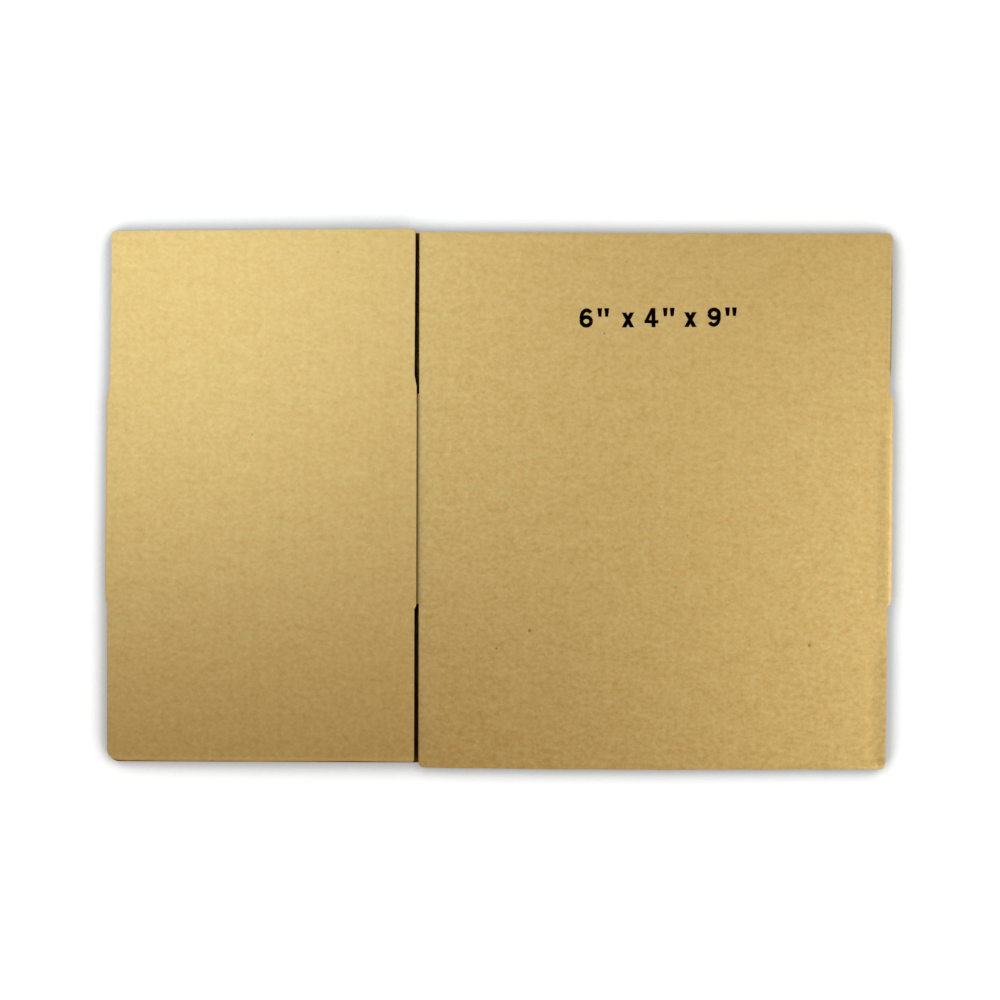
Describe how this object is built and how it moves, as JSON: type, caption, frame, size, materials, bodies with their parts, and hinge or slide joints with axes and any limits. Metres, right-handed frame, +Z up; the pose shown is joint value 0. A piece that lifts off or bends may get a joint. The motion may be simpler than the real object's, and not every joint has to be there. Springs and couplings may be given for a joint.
{
  "type": "flattened cardboard box",
  "caption": "Slotted corrugated carton, glued at its side joint and knocked down flat, with free upper flaps hinged at their scores.",
  "frame": {"origin": "on the table, under the middle of the flat carton", "axes": "+X across the panels, +Y along the flutes, +Z up from the table"},
  "size_m": [0.3878, 0.2656, 0.0087],
  "materials": {
    "kraft_board": "matte",
    "dried_glue": "satin"
  },
  "bodies": {
    "folded_sheet": {"folded_sheet": "kraft_board", "joint_glue": "dried_glue"},
    "long_flap_top": {"long_flap_top": "kraft_board"},
    "long_flap_bottom": {"long_flap_bottom": "kraft_board"},
    "short_flap_top": {"short_flap_top": "kraft_board"},
    "short_flap_bottom": {"short_flap_bottom": "kraft_board"}
  },
  "joints": [
    {"name": "long_flap_top_score", "type": "hinge", "parent": "folded_sheet", "child": "long_flap_top", "pos_m": [0.0762, 0.05292, 0.0061], "axis": [1, 0, 0], "range_deg": [0, 130]},
    {"name": "short_flap_top_score", "type": "hinge", "parent": "folded_sheet", "child": "short_flap_top", "pos_m": [-0.1156, 0.05502, 0.0073], "axis": [0.9999, 0, 0.016], "range_deg": [0, 130]},
    {"name": "long_flap_bottom_score", "type": "hinge", "parent": "folded_sheet", "child": "long_flap_bottom", "pos_m": [0.0762, -0.05502, 0.0061], "axis": [-1, 0, 0], "range_deg": [0, 130]},
    {"name": "short_flap_bottom_score", "type": "hinge", "parent": "folded_sheet", "child": "short_flap_bottom", "pos_m": [-0.1156, -0.05292, 0.0073], "axis": [-0.9999, 0, -0.016], "range_deg": [0, 130]}
  ]
}
